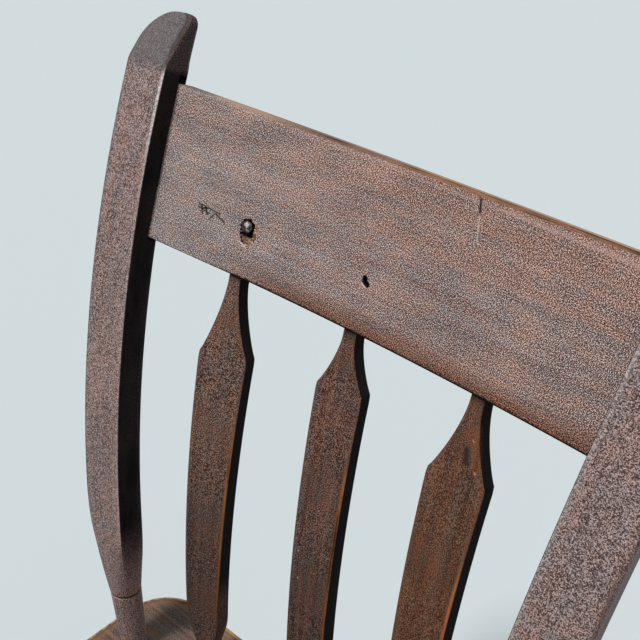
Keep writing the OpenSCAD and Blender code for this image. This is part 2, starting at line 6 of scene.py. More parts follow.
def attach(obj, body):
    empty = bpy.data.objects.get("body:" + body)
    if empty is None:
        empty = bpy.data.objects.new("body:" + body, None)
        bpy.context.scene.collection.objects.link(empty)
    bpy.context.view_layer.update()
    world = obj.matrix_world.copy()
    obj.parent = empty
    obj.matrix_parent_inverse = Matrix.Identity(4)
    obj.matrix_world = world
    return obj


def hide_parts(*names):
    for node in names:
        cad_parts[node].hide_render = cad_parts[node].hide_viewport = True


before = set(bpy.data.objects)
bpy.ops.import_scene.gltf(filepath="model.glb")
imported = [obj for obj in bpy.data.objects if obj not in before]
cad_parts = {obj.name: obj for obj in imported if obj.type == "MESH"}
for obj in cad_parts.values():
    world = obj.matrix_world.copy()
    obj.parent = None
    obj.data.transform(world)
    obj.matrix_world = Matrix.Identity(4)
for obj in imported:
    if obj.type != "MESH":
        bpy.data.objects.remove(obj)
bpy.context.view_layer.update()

# Seat
# One thick plank, its grain from side to side, hollowed with scraper and shave. The upper edge
# is rounded over and the lower edge chamfered, and the old brown finish has gone from both.
SEAT_TOP, SEAT_THICK = 430.0, 38.0
SEAT_BACK_Y, SEAT_FRONT_Y = 34.0, -358.0
FRONT_HALF, FRONT_R, FRONT_BOW = 206.0, 58.0, 8.0
REAR_HALF, REAR_R = 194.0, 46.0
SADDLE_R, SADDLE_DIP = 160.0, 9.0
EDGE_ROUND, UNDER_CHAMFER = 5.0, 10.0
# Lengths are in millimetres from the foot of the middle spindle. The middle of the chair's box
# lies here, and every mesh is moved so that it comes over the origin.
CHAIR_MIDDLE_Y = -124.631
# The four marks at each point: wear, dirt with painted shade, torn wood, and painted highlight
WORN, DIRT_AND_SHADE, TORN, PAINTED_HIGHLIGHT = range(4)


def solid(name, parts, nodes, finish):
    """A piece of one or more closed lofts, riding on the chair in place of its CAD nodes.
    A loft is (rings, grain, marks): rings of points, the same points as places in the wood,
    and at each point how far it is worn, darkened by dirt and painted shade, and torn, and how
    much painted highlight it carries."""
    points, faces, grain, marks = [], [], [], []
    for rings, along, wear in parts:
        first = sum(len(p) for p in points)
        rows, across = rings.shape[:2]
        i, j = np.meshgrid(np.arange(rows - 1), np.arange(across), indexing="ij")
        a, b = i * across + j, i * across + (j + 1) % across
        quads = np.stack([a, b, b + across, a + across], -1).reshape(-1, 4) + first
        start, end = first + rows * across, first + rows * across + 1
        edge = np.arange(across)
        low = np.stack([np.full(across, start), first + (edge + 1) % across, first + edge], -1)
        last = first + (rows - 1) * across
        high = np.stack([np.full(across, end), last + edge, last + (edge + 1) % across], -1)
        faces += quads.tolist() + low.tolist() + high.tolist()
        for store, values in ((points, rings), (grain, along), (marks, wear)):
            ends = [values[0].mean(0), values[-1].mean(0)]
            store.append(np.vstack([values.reshape(-1, values.shape[-1]), ends]))
    points = np.vstack(points) - [0, CHAIR_MIDDLE_Y, 0]
    mesh = bpy.data.meshes.new(name)
    mesh.from_pydata((points / 1000).tolist(), [], faces)
    layer = mesh.attributes.new("grain", "FLOAT_VECTOR", "POINT")
    layer.data.foreach_set("vector", np.vstack(grain).astype(np.float32).ravel())
    layer = mesh.attributes.new("marks", "FLOAT_COLOR", "POINT")
    layer.data.foreach_set("color", np.vstack(marks).astype(np.float32).ravel())
    mesh.polygons.foreach_set("use_smooth", [True] * len(mesh.polygons))
    mesh.update()
    mesh.validate()
    piece = bpy.data.objects.new(name, mesh)
    bpy.context.scene.collection.objects.link(piece)
    mesh.materials.append(finish)
    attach(piece, "root")
    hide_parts(*nodes)


class Value:
    """The output of a node; arithmetic on it adds Math nodes to its finish."""

    def __init__(self, finish, socket):
        self.finish, self.socket = finish, socket

    def math(self, operation, a, b=0.0):
        return self.finish.node("Math", {"operation": operation}, {0: a, 1: b})

    def __add__(self, other):
        return self.math("ADD", self, other)

    def __radd__(self, other):
        return self.math("ADD", other, self)

    def __sub__(self, other):
        return self.math("SUBTRACT", self, other)

    def __rsub__(self, other):
        return self.math("SUBTRACT", other, self)

    def __mul__(self, other):
        return self.math("MULTIPLY", self, other)

    def __rmul__(self, other):
        return self.math("MULTIPLY", other, self)

    def over(self, other):
        return self.math("MAXIMUM", self, other)

    def limit(self, low=0.0, high=1.0):
        return self.math("MINIMUM", self.over(low), high)


class Finish:
    """A node material with one Principled shader, whose sockets are filled in by name; or a
    world with its Background shader."""

    def __init__(self, name, world=None):
        self.material = world or bpy.data.materials.new(name)
        self.material.use_nodes = True
        self.nodes = self.material.node_tree.nodes
        self.links = self.material.node_tree.links
        self.shader = self.nodes.get("Principled BSDF") or self.nodes["Background"]

    def node(self, kind, settings, values, out=0):
        made = self.nodes.new("ShaderNode" + kind)
        for key, value in settings.items():
            if key == "stops":
                ramp = made.color_ramp.elements
                for k, (place, colour) in enumerate(value):
                    stop = ramp[k] if k < 2 else ramp.new(place)
                    stop.position, stop.color = place, (*colour, 1)
            else:
                setattr(made, key, value)
        for key, value in values.items():
            if isinstance(value, Value):
                self.links.new(value.socket, made.inputs[key])
            else:
                made.inputs[key].default_value = value
        return Value(self, made.outputs[out])

    def attribute(self, name, out="Vector"):
        return self.node("Attribute", {"attribute_name": name}, {}, out)

    def parts(self, vector):
        outputs = self.node("SeparateXYZ", {}, {0: vector}).socket.node.outputs
        return [Value(self, output) for output in outputs]

    def vector(self, operation, values, out="Vector"):
        return self.node("VectorMath", {"operation": operation}, values, out)

    def stretch(self, vector, scale):
        return self.vector("MULTIPLY", {0: vector, 1: scale})

    def noise(self, vector, scale, detail=2.0, rough=0.5, twist=0.0):
        values = {"Vector": vector, "Scale": scale, "Detail": detail, "Roughness": rough,
                  "Distortion": twist}
        return self.node("TexNoise", {}, values)

    def step(self, value, low, high, to_low=0.0, to_high=1.0):
        values = {0: value, 1: low, 2: high, 3: to_low, 4: to_high}
        return self.node("MapRange", {"interpolation_type": "SMOOTHSTEP"}, values)

    def mix(self, share, a, b, blend="MIX"):
        a, b = ((*c, 1) if isinstance(c, tuple) else c for c in (a, b))
        return self.node("Mix", {"data_type": "RGBA", "blend_type": blend},
                         {0: share, 6: a, 7: b}, 2)

    def tint(self, colour, shade, share=1.0):
        """The colour multiplied by a shade, by a share of its strength."""
        return self.mix(share, colour, shade, "MULTIPLY")

    def bump(self, height, depth, strength):
        return self.node("Bump", {}, {"Height": height, "Distance": depth, "Strength": strength})

    def from_line(self, place, start, end):
        """Distance from the straight line between two places in the wood."""
        start, end = np.array(start, float), np.array(end, float)
        run = float(np.linalg.norm(end - start))
        ahead = tuple((end - start) / run)
        from_start = self.vector("SUBTRACT", {0: place, 1: tuple(start)})
        along = self.vector("DOT_PRODUCT", {0: from_start, 1: ahead}, "Value")
        nearest = self.vector("SCALE", {0: ahead, "Scale": along.limit(0.0, run)})
        return self.vector("DISTANCE", {0: from_start, 1: nearest}, "Value")

    def set(self, **sockets):
        for key, value in sockets.items():
            socket = self.shader.inputs[key.replace("_", " ")]
            if isinstance(value, Value):
                self.links.new(value.socket, socket)
            else:
                socket.default_value = (*value, 1) if isinstance(value, tuple) else value


def old_finish(name, dark, mid, pale, bare, thinned, highlight=(0.6, 0.52, 0.49),
               ripple=(1.0, 1.0, 1.0), speck=1.5, rubbed=0.5, torn=None, streaky=0.2, varied=0.8):
    """Old dark finish on wood: crazed to fine dark and pale specks in patches of warmer and
    cooler brown. The marks say where it is rubbed thin and through to wood, black with dirt and
    painted shade, torn, and where a painted highlight lies. The grain runs along the third wood
    coordinate.
    ripple stretches the specks and speck is how many there are in a millimetre; rubbed,
    streaky and varied say how far wear, streaks and patches show; torn is the dark and the
    pale colour of torn fibres."""
    dirt_and_shade_black = (0.0054, 0.0050, 0.0060)
    f = Finish(name)
    place = f.attribute("grain")
    worn, dirt_and_shade, raw = f.parts(f.attribute("marks"))
    streaks = f.noise(f.stretch(place, (1.0, 1.0, 0.03)), 0.55, 4.0, 0.6)
    figure = f.noise(f.stretch(place, (1.0, 1.0, 0.02)), 0.24, 4.0, 0.62)
    clouds = f.noise(f.stretch(place, (1.0, 1.0, 0.45)), 0.055, 3.0, 0.55, 0.3)
    specks = f.noise(f.stretch(place, ripple), speck, 1.0, 0.6)
    lumps = f.noise(f.stretch(place, ripple), speck * 0.4, 1.0, 0.5)
    hues = f.noise(f.stretch(place, (1.0, 1.0, 0.6)), 0.13, 2.0, 0.6)
    bands = f.noise(f.stretch(place, (1.0, 1.0, 0.04)), 0.13, 1.0, 0.5)
    crazing = f.node("TexVoronoi", {"feature": "DISTANCE_TO_EDGE"},
                     {"Vector": f.stretch(place, ripple), "Scale": speck * 0.6, "Randomness": 1.0})
    crack = 1 - f.step(crazing, 0.0, 0.13)
    light = (specks + 0.05 * (lumps - 0.5) + 0.09 * (clouds - 0.5)
             + streaky * (0.3 * streaks + 0.9 * figure - 0.6))
    colour = f.node("ValToRGB", {"stops": [(0.40, dark), (0.515, mid), (0.60, pale)]}, {0: light})
    warmth = 0.4 * (clouds - 0.5) + 0.6 * (hues - 0.5) + streaky * 2.2 * (bands - 0.5)
    cooler = (1 - 0.13 * varied, 1 + 0.02 * varied, 1 + 0.12 * varied)
    warmer = (1 + 0.15 * varied, 1 - 0.04 * varied, 1 - 0.16 * varied)
    colour = f.tint(colour, f.mix(f.step(warmth, -0.15, 0.15), cooler, warmer))
    colour = f.mix(0.34 * crack, colour, dark)
    patch = f.noise(f.stretch(place, (1.0, 1.0, 0.12)), 0.22, 4.0, 0.65)
    fray = f.noise(f.stretch(place, (1.0, 1.0, 0.3)), 1.3, 2.0, 0.6)
    uneven = 0.6 * (patch - 0.5) + 0.4 * (fray - 0.5)
    wear = worn * (0.55 + rubbed) + uneven * f.step(worn, 0.0, 0.3)
    thin, rub = f.step(wear, 0.08, 0.42), f.step(wear, 0.45, 0.78)
    colour = f.mix(thin * (0.45 + 0.8 * (specks - 0.3)).limit(), colour, thinned)
    fibres = 0.5 * figure + 0.5 * streaks + 0.2 * (fray - 0.5)
    browns = [(0.42, tuple(0.14 * c for c in bare)), (0.52, bare),
              (0.64, tuple(1.35 * c for c in bare))]
    colour = f.mix(rub, colour, f.node("ValToRGB", {"stops": browns}, {0: fibres}))
    # Painted highlight: the highlight colour laid where the fourth mark says
    highlight_share = f.attribute("marks", "Alpha") * (0.55 + 2.2 * (lumps - 0.42) + 1.4 * (patch - 0.5))
    colour = f.mix(highlight_share.limit(), colour, highlight)
    torn = torn or (tuple(0.3 * c for c in bare), bare)
    splinters = f.noise(f.stretch(place, (0.8, 0.8, 0.12)), 1.1, 3.0)
    splintered = f.mix(f.step(splinters, 0.42, 0.58), *torn)
    colour = f.mix(raw, colour, f.mix(0.8 * f.step(specks, 0.56, 0.40), splintered, dark))
    # Real dirt and painted shade both darken the colour towards black by the second mark
    dirt_and_shade_share = (dirt_and_shade * (0.85 + 0.3 * clouds)).limit()
    f.place, f.specks, f.colour = place, specks, f.mix(dirt_and_shade_share, colour, dirt_and_shade_black)
    relief = f.mix(rub.over(raw), specks - 0.3 * crack, 0.35 * streaks + 0.3 * splinters)
    f.set(Base_Color=f.colour, Roughness=(0.68 - 0.34 * specks + 0.45 * dirt_and_shade_share).limit(0.2, 1.0),
          Normal=f.bump(relief, depth=0.0005, strength=0.9), Specular_IOR_Level=0.12)
    return f


seat_finish = old_finish(
    "seat_finish", dark=(0.035, 0.022, 0.018), mid=(0.135, 0.088, 0.068), pale=(0.26, 0.175, 0.13),
    bare=(0.36, 0.18, 0.07), thinned=(0.22, 0.12, 0.065), streaky=0.45).material

turn = np.radians(np.arange(0, 360, 1.5))
ray = np.stack([np.cos(turn), np.sin(turn)], -1)
seat_middle = np.array([0.0, (SEAT_BACK_Y + SEAT_FRONT_Y) / 2])
corner_x = np.array([-1, -0.5, 0, 0.5, 1])
corners = np.array(
    [(x * (FRONT_HALF - FRONT_R), SEAT_FRONT_Y + FRONT_R - FRONT_BOW * (1 - x * x), FRONT_R)
     for x in corner_x]
    + [(x * (REAR_HALF - REAR_R), SEAT_BACK_Y - REAR_R, REAR_R) for x in corner_x])
reach = ((corners[:, :2] - seat_middle) @ ray.T + corners[:, 2:]).max(0)


def seat_outline(inset):
    """Points on the seat's outline, moved in square to the edge."""
    facing = ray @ ray.T
    away = np.where(facing > 0.02, (reach - inset)[None, :] / np.maximum(facing, 0.02), np.inf)
    return seat_middle + ray * away.min(1)[:, None]


def seat_surface(x, y):
    """Height of the seat's top, hollowed to a shallow bowl with a soft rim."""
    ball = (SADDLE_R ** 2 + SADDLE_DIP ** 2) / (2 * SADDLE_DIP)
    away = np.hypot(x, y - (SEAT_FRONT_Y + SADDLE_R + 3 * EDGE_ROUND))
    under = SADDLE_DIP - ball + np.sqrt(ball ** 2 - away ** 2)
    return SEAT_TOP - 0.5 * (under + np.sqrt(under ** 2 + 0.8))


def seat_ring(inset, z, shrink=1.0):
    """The outline at a height, or on the hollowed top where z is None, drawn in by a share."""
    edge = seat_middle + (seat_outline(inset) - seat_middle) * shrink
    level = seat_surface(edge[:, 0], edge[:, 1]) if z is None else np.full(len(edge), z)
    return np.column_stack([edge, level])


under_z, mid_z = SEAT_TOP - SEAT_THICK, SEAT_TOP - SEAT_THICK / 2
rings, worn = [], []
for k in range(1, 13):
    rings.append(seat_ring(UNDER_CHAMFER + 1, under_z, k / 12))
    worn.append(0.0)
for u in np.linspace(0, 1, 9):
    rings.append(seat_ring(UNDER_CHAMFER * (1 - u), under_z + (mid_z - under_z) * u))
    worn.append(0.55 * max(np.exp(-(u / 0.12) ** 2), np.exp(-((1 - u) / 0.12) ** 2)))
for u in np.linspace(0.15, 1, 7):
    rings.append(seat_ring(0, mid_z + (SEAT_TOP - EDGE_ROUND - mid_z) * u))
    worn.append(0.1 + 0.2 * u)
for u in np.linspace(0.1, 1, 8):
    a = u * np.pi / 2
    z = SEAT_TOP - EDGE_ROUND * (1 - np.sin(a))
    rings.append(seat_ring(EDGE_ROUND * (1 - np.cos(a)), z))
    worn.append(0.35 + 0.6 * np.sin(np.pi * u))
for u in np.linspace(1, 0.02, 80):
    rings.append(seat_ring(EDGE_ROUND, None, u))
    worn.append(0.42 * np.exp(-((1 - u) / 0.03) ** 2) + 0.3 * np.exp(-((u - 0.45) / 0.3) ** 2))
rings = np.array(rings)
marks = np.zeros((*rings.shape[:2], 4))
marks[..., WORN] = np.array(worn)[:, None]
solid("seat_plank", [(rings, rings[..., [1, 2, 0]], marks)], ["seat"], seat_finish)


# Legs
# Four legs of maple or birch, turned between centres with three cut rings each, driven
# through holes in the plank and wedged there. Their feet are rubbed bare by the floor.
LEG_D, LEG_WAIST, LEG_FOOT, LEG_END = 33.0, 28.0, 24.0, 22.0
LEG_RINGS, LEG_SLIM, LEG_BULGE, LEG_HOLLOW = (96.0, 212.0, 318.0), 0.92, 0.4, 0.8
CUT, RING_STEPS = 1.3, np.linspace(-2.2, 2.2, 13)
LEG_PLACES = {
    "front": ((142.0, SEAT_FRONT_Y + 60), (np.tan(np.radians(6)), -np.tan(np.radians(6)))),
    "rear": ((118.0, SEAT_BACK_Y - 76), (np.tan(np.radians(8)), np.tan(np.radians(13)))),
}
leg_finish = old_finish(
    "turned_finish", dark=(0.03, 0.019, 0.016), mid=(0.115, 0.072, 0.056),
    pale=(0.23, 0.15, 0.115), bare=(0.36, 0.17, 0.065), thinned=(0.20, 0.10, 0.055),
    ripple=(1.0, 1.0, 0.6), streaky=0.4).material


def leg_point(side, row, z):
    """The middle of a leg at a height over the floor."""
    (x, y), (out, fore) = LEG_PLACES[row]
    down = SEAT_TOP - SEAT_THICK - z
    return np.array([side * (x + out * down), y + fore * down, z])


def swell(s, s0, s1, r0, r1, waist):
    """Radius from r0 at s0 to r1 at s1, by way of the waist's in the middle."""
    u = np.clip((s - s0) / (s1 - s0), 0, 1)
    return r0 + (r1 - r0) * u - 4 * u * (1 - u) * ((r0 + r1) / 2 - waist)


def cut_ring(s, at):
    """Depth of a ring cut with the skew chisel."""
    return CUT * np.clip(1 - np.abs(s - at) / CUT, 0, 1) ** 0.8


def turned(start, end, s, radius, wear, grime, lowest=None, highest=None, around=72):
    """A loft round a straight axis, from the radius, wear and grime at each s. Its rings are
    tipped to end flush with the floor and with the seat's hollow top."""
    length = np.linalg.norm(end - start)
    axis = (end - start) / length
    side = np.cross(axis, [0.0, 1.0, 0.0] if abs(axis[1]) < 0.9 else [1.0, 0.0, 0.0])
    side /= np.linalg.norm(side)
    other = np.cross(axis, side)
    angle = np.linspace(0, 2 * np.pi, around, endpoint=False)
    round_ = np.cos(angle)[:, None] * side + np.sin(angle)[:, None] * other
    rings = start + s[:, None, None] * axis + radius[:, None, None] * round_
    if lowest is not None:
        tip = (lowest - start[2] - (rings - start)[..., 2] + s[:, None] * axis[2]) / axis[2]
        tipped_low = 60
        share = np.clip(1 - s / tipped_low, 0, 1)[:, None]
        rings = rings + (tip * share)[..., None] * axis
    if highest is not None:
        tipped_high = 15
        share = np.clip(1 - (s[-1] - s) / tipped_high, 0, 1)[:, None]
        for _ in range(3):
            gap = seat_surface(rings[..., 0], rings[..., 1]) + highest - rings[..., 2]
            gap = gap + (s - s[-1])[:, None] * axis[2]
            rings = rings + (gap * share)[..., None] * axis
    grain = np.stack([radius[:, None] * np.cos(angle), radius[:, None] * np.sin(angle),
                      s[:, None] + start[0] * 3 + 0 * angle], -1)
    marks = np.zeros((*rings.shape[:2], 4))
    marks[..., WORN], marks[..., DIRT_AND_SHADE] = wear[:, None], grime[:, None]
    return rings, grain, marks


for row in ("front", "rear"):
    for side, hand in ((-1, "left"), (1, "right")):
        foot, top = leg_point(side, row, 0.0), leg_point(side, row, SEAT_TOP)
        length = np.linalg.norm(top - foot)
        under = length * (SEAT_TOP - SEAT_THICK) / SEAT_TOP
        low, middle, high = LEG_RINGS
        full, slim = LEG_D / 2, LEG_D / 2 * LEG_SLIM
        s = np.unique(np.concatenate([
            np.arange(0, length, 3.0), *(at + RING_STEPS for at in LEG_RINGS),
            [under - 1, under, under + 1, length]]))
        radius = np.select(
            [s < low, s < middle, s < high, s < under],
            [swell(s, 0, low, LEG_FOOT / 2, slim, (LEG_FOOT / 2 + slim) / 2 + LEG_BULGE),
             swell(s, low, middle, slim, full, LEG_WAIST / 2),
             swell(s, middle, high, full, full, LEG_WAIST / 2),
             swell(s, high, under, full, LEG_END / 2, (full + LEG_END / 2) / 2 - LEG_HOLLOW)],
            LEG_END / 2)
        cuts = sum(cut_ring(s, at) for at in LEG_RINGS)
        near = np.exp(-(np.min([np.abs(s - at) for at in LEG_RINGS], 0) / 5) ** 2)
        wear = 0.2 + 0.45 * near + 0.5 * np.exp(-(s / 14) ** 2)
        grime = cuts / CUT + 0.8 * np.exp(-((s - under) / 4) ** 2)
        face = np.array([0.03, 0.5, 0.9, 0.98])
        s_all = np.pad(s, len(face), "edge")
        r_all = np.concatenate([radius[0] * face, radius - cuts, radius[-1] * face[::-1]])
        loft = turned(foot, top, s_all, r_all, np.pad(wear, len(face), "edge"),
                      np.pad(grime, len(face), constant_values=0.35), lowest=0.0, highest=0.25)
        solid("leg_%s_%s_turned" % (row, hand), [loft],
              ["leg_%s_%s" % (row, hand)], leg_finish)


# Stretchers
# Four turned rungs, thickest in the middle, with two cut rings, pushed into blind holes in
# the legs. Boots have rubbed the top of the front one.
STRETCHER_D, STRETCHER_END, STRETCHER_RING, STRETCHER_WAIST = 22.0, 14.0, 58.0, 0.6
STRETCHER_PLAIN, BOOT_WEAR = 8.0, 0.25
STRETCHER_PLACES = {
    "front": ((-1, "front"), (1, "front"), 206.0), "left": ((-1, "front"), (-1, "rear"), 146.0),
    "right": ((1, "front"), (1, "rear"), 146.0), "rear": ((-1, "rear"), (1, "rear"), 178.0),
}
for name, (leg_a, leg_b, z) in STRETCHER_PLACES.items():
    a, b = leg_point(*leg_a, z), leg_point(*leg_b, z)
    half = np.linalg.norm(b - a) / 2
    plain = half - LEG_D / 2 - STRETCHER_PLAIN
    x = np.unique(np.concatenate([np.arange(-half, half, 3.0), [half],
                                  RING_STEPS - STRETCHER_RING, RING_STEPS + STRETCHER_RING]))
    u = np.clip((np.abs(x) - STRETCHER_RING - CUT) / (plain - STRETCHER_RING - CUT), 0, 1)
    taper = (STRETCHER_D - STRETCHER_END) / 2 * u * u * (3 - 2 * u)
    radius = STRETCHER_D / 2 - STRETCHER_WAIST * np.exp(-(x / 25) ** 2) - taper
    cuts = cut_ring(np.abs(x), STRETCHER_RING)
    boots = (BOOT_WEAR if name == "front" else 0) * (1 - u)
    wear = 0.25 + 0.4 * np.exp(-((np.abs(x) - STRETCHER_RING) / 7) ** 2) + boots
    grime = cuts / CUT + 0.9 * np.exp(-((np.abs(x) - half + LEG_D / 2 - 1) / 4) ** 2)
    loft = turned(a, b, x + half, radius - cuts, wear, grime, around=56)
    solid("stretcher_%s_turned" % name, [loft], ["stretcher_" + name], leg_finish)


# Posts
# Two posts, turned round at the foot and shaved flat in front, then steamed and bent back.
# The ears are bevelled in front and round outside; a slot in each inner side takes the rail.
POST_X, POST_LEAN = 160.598, np.radians(4.5)
POST_W, POST_T, POST_BACK_R = 40.0, 26.0, 11.0
POST_BEND, POST_BEND_Y, POST_BEND_Z = 950.0, 922.579, -6.44429
POST_FOOT_RAKE, POST_FOOT_Y, POST_FOOT_RUN = np.radians(4), -29.2903, 59.9704
POST_TIP = np.radians(31.2899)
EAR_BEVEL, EAR_TIP, EAR_DROP, EAR_R, EAR_INNER_R = 36.0, 7.0, 6.0, 24.0, 8.0
post_finish = old_finish(
    "post_finish", dark=(0.060, 0.038, 0.035), mid=(0.278, 0.191, 0.175),
    pale=(0.57, 0.44, 0.415), bare=(0.12, 0.052, 0.03), thinned=(0.15, 0.082, 0.056),
    highlight=(0.92, 0.86, 0.86), torn=((0.088, 0.099, 0.107), (0.119, 0.132, 0.143)),
    rubbed=0.35, streaky=0.12, varied=0.55).material


def bar_rings(a0, a1, n0, n1, radii, sides, arc=7):
    """Outlines of a bar's section at each station, from the corner (a0, n0) round by (a1, n0).
    a0, a1, n0 and n1 are limits at each station, radii the corners', sides the shares of each
    side where points lie. It also gives each point's distance from the nearest corner and which
    way it faces."""
    limits = np.broadcast_arrays(a0, a1, n0, n1)
    a0, a1, n0, n1 = (limit.astype(float) for limit in limits)
    most = 0.48 * np.minimum(a1 - a0, n1 - n0)
    radii = [np.minimum(r, most) for r in radii]
    corner = [(a0, n0, 1, 1), (a1, n0, -1, 1), (a1, n1, -1, -1), (a0, n1, 1, -1)]
    points, apart, facing = [], [], []
    for k in range(4):
        a, n, da, dn = corner[k]
        r, after = radii[k], radii[(k + 1) % 4]
        turn = np.pi + k * np.pi / 2 + np.linspace(0, np.pi / 2, arc)[None, :]
        centre_a, centre_n = a + da * r, n + dn * r
        points.append(np.stack([centre_a[:, None] + r[:, None] * np.cos(turn),
                                centre_n[:, None] + r[:, None] * np.sin(turn)], -1))
        apart.append(np.zeros(points[-1].shape[:2]))
        facing.append(np.stack([np.cos(turn[0]), np.sin(turn[0])], -1))
        a_next, n_next = corner[(k + 1) % 4][:2]
        start = points[-1][:, -1]
        end = np.stack([(a_next - after, n_next), (a_next, n_next - after),
                        (a_next + after, n_next), (a_next, n_next + after)][k], -1)
        share = np.asarray(sides[k])[None, :, None]
        points.append(start[:, None] * (1 - share) + end[:, None] * share)
        run = np.linalg.norm(end - start, axis=-1)[:, None]
        apart.append(np.minimum(share[..., 0] * run, (1 - share[..., 0]) * run))
        facing.append(np.repeat(facing[-1][-1:], share.shape[1], 0))
    return np.concatenate(points, 1), np.concatenate(apart, 1), np.concatenate(facing)


def round_off(points, middle, radius):
    """Points pulled in to a turned circle where they stand outside it."""
    from_middle = points - middle[:, None]
    away = np.linalg.norm(from_middle, axis=-1, keepdims=True)
    ratio = radius[:, None, None] / np.maximum(away, 1e-6)
    soft = (1 + ratio ** -14.0) ** (-1 / 14)
    return middle[:, None] + from_middle * soft


def ease(u):
    """From 0 to 1 with a soft start and a soft end."""
    u = np.clip(u, 0, 1)
    return u * u * (3 - 2 * u)


# The rail's place and its bend, which the slots share
CREST_RAKE, CREST_Y, CREST_Z = np.radians(27), 53.316, 778.955
CREST_BEND, CREST_H, CREST_W, CREST_T = 1190.0, 104.0, 336.0, 16.5
TENON_LEN, TENON_T, SLOT_OPEN, SLOT_SHOWN = 24.0, 7.0, 5.0, 12.0


def in_crest(points):
    """Height up the rail's face and depth behind it, of points of the chair."""
    y, z = points[..., 1] - CREST_Y, points[..., 2] - CREST_Z
    up = y * np.sin(CREST_RAKE) + z * np.cos(CREST_RAKE)
    back = y * np.cos(CREST_RAKE) - z * np.sin(CREST_RAKE)
    return up, np.hypot(points[..., 0], back + CREST_BEND) - CREST_BEND


# The post's middle line, a raked straight foot and then an arc round a point behind it
foot_depth, ear_end, slot_angle = 8, 1.6, np.radians(28.2)
start_angle = np.arcsin((-foot_depth - POST_BEND_Z) / POST_BEND)
tip = POST_BEND * (POST_TIP - start_angle)
near_tip = tip - EAR_R + (EAR_R - ear_end) * np.sin(np.linspace(0, 1, 26) * np.pi / 2)
near_ring = foot_depth + POST_FOOT_RUN + np.linspace(-3, 3, 13) + 2
near_slot = POST_BEND * (slot_angle - start_angle) + np.arange(-7, 7, 0.4)
s = np.unique(np.concatenate([np.arange(0, tip - EAR_R, 3.0), near_tip, near_ring, near_slot]))
cap = np.linspace(0, 1, 6)[1:] * np.pi / 2
s = np.concatenate([s, tip - ear_end + ear_end * np.sin(cap)])
inset = np.concatenate([np.zeros(len(s) - len(cap)), ear_end * (1 - np.cos(cap))])
angle = start_angle + s / POST_BEND
left = tip - s
bevel = np.clip(1 - left / EAR_BEVEL, 0, 1)
n_front = -POST_T / 2 + (POST_T - EAR_TIP - EAR_DROP) * bevel
n_back = POST_T / 2 - EAR_DROP * bevel
curve = np.clip(EAR_R - left, 0, EAR_R)
a_out = POST_W / 2 - EAR_R + np.sqrt(EAR_R ** 2 - curve ** 2)
curve = np.clip(EAR_INNER_R - left, 0, EAR_INNER_R)
a_in = -POST_W / 2 + EAR_INNER_R - np.sqrt(EAR_INNER_R ** 2 - curve ** 2)
even = np.linspace(0, 1, 16)[1:-1]
slot_side = np.unique(np.concatenate([np.linspace(0.03, 0.97, 22), np.linspace(0.62, 0.82, 14)]))
inner_r = 1.2 + 2.4 * ease((bevel - 0.05) / 0.3)
outline, apart, facing = bar_rings(
    a_in + inset, a_out - inset, n_front + inset, n_back - inset,
    [inner_r, 2.2, POST_BACK_R, POST_BACK_R], [even, even, even, slot_side], arc=15)
height = POST_BEND_Z + POST_BEND * np.sin(angle)
raked_y = POST_FOOT_Y + height * np.tan(POST_FOOT_RAKE)
foot_off = raked_y - (POST_BEND_Y - POST_BEND * np.cos(angle))
blend = ease((height - 40) / 60)
middle = np.stack([0 * s, foot_off * (1 - blend)], -1)
foot_r, ring_r, wide = 10.5, 12.3, np.hypot(POST_W, POST_T) / 2 + 3
ring_at, flat_at = 62.0, POST_FOOT_RUN + 90
turned_r = np.where(height < ring_at, swell(height, 0, ring_at, foot_r, ring_r, foot_r + 0.8),
                    swell(height, ring_at, flat_at, ring_r, wide, (foot_r + wide) / 2))
turned_r = np.where(height > flat_at, wide + (height - flat_at) * 1.5, turned_r)
outline = round_off(outline, middle, turned_r - cut_ring(height, ring_at))
flats = ease((height - 70) / 70)[:, None]

